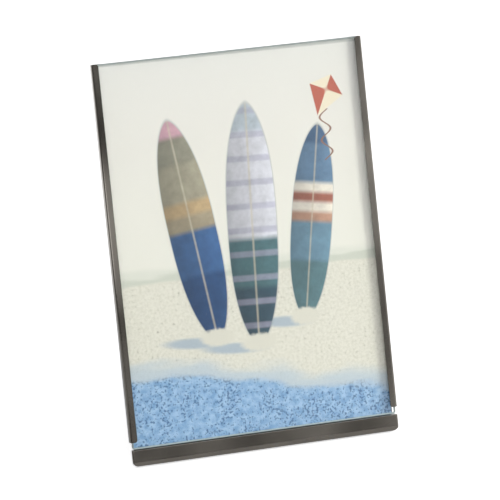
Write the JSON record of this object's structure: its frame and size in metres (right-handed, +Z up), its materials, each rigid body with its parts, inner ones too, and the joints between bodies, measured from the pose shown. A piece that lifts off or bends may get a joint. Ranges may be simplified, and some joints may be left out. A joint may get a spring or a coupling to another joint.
{
  "type": "picture frame",
  "caption": "Upright slide-in picture frame of folded steel sheet with a rolled foot, clear glass, a print, a backing card and a folding easel leg.",
  "frame": {"origin": "on the surface that the frame stands on, under the middle of the bounding box", "axes": "+Z up, the print faces -Y, +X to the viewer's right"},
  "size_m": [0.1308, 0.0834, 0.1776],
  "materials": {
    "gunmetal_steel": "satin gunmetal",
    "zinc_steel": "zinc plated",
    "nylon": "satin",
    "clear_glass": "clear, pencil-ground edges",
    "print_paper": "semi-gloss print",
    "grey_board": "matte",
    "black_rubber": "matte"
  },
  "bodies": {
    "frame": {"frame_tray": "gunmetal_steel", "hinge_bracket": "gunmetal_steel", "bracket_rivet_1": "zinc_steel", "bracket_rivet_2": "zinc_steel", "bracket_rivet_3": "zinc_steel", "bracket_rivet_4": "zinc_steel", "hinge_pin": "zinc_steel", "hinge_washer_left": "nylon", "hinge_washer_right": "nylon", "foot_pad_left": "black_rubber", "foot_pad_right": "black_rubber"},
    "leg": {"easel_leg": "gunmetal_steel", "leg_tip": "black_rubber"},
    "glass": {"glass_pane": "clear_glass"},
    "print": {"photo_print": "print_paper"},
    "card": {"backing_card": "grey_board"}
  },
  "joints": [
    {"name": "leg_fold", "type": "hinge", "parent": "frame", "child": "leg", "pos_m": [0, 0.01115, 0.11506], "axis": [-1, 0, 0], "range_deg": [0, 33]},
    {"name": "glass_slide", "type": "slide", "parent": "frame", "child": "glass", "axis": [0, 0.3502, 0.9367], "range_m": [0, 0.185]},
    {"name": "print_slide", "type": "slide", "parent": "frame", "child": "print", "axis": [0, 0.3502, 0.9367], "range_m": [0, 0.185]},
    {"name": "card_slide", "type": "slide", "parent": "frame", "child": "card", "axis": [0, 0.3502, 0.9367], "range_m": [0, 0.185]}
  ]
}
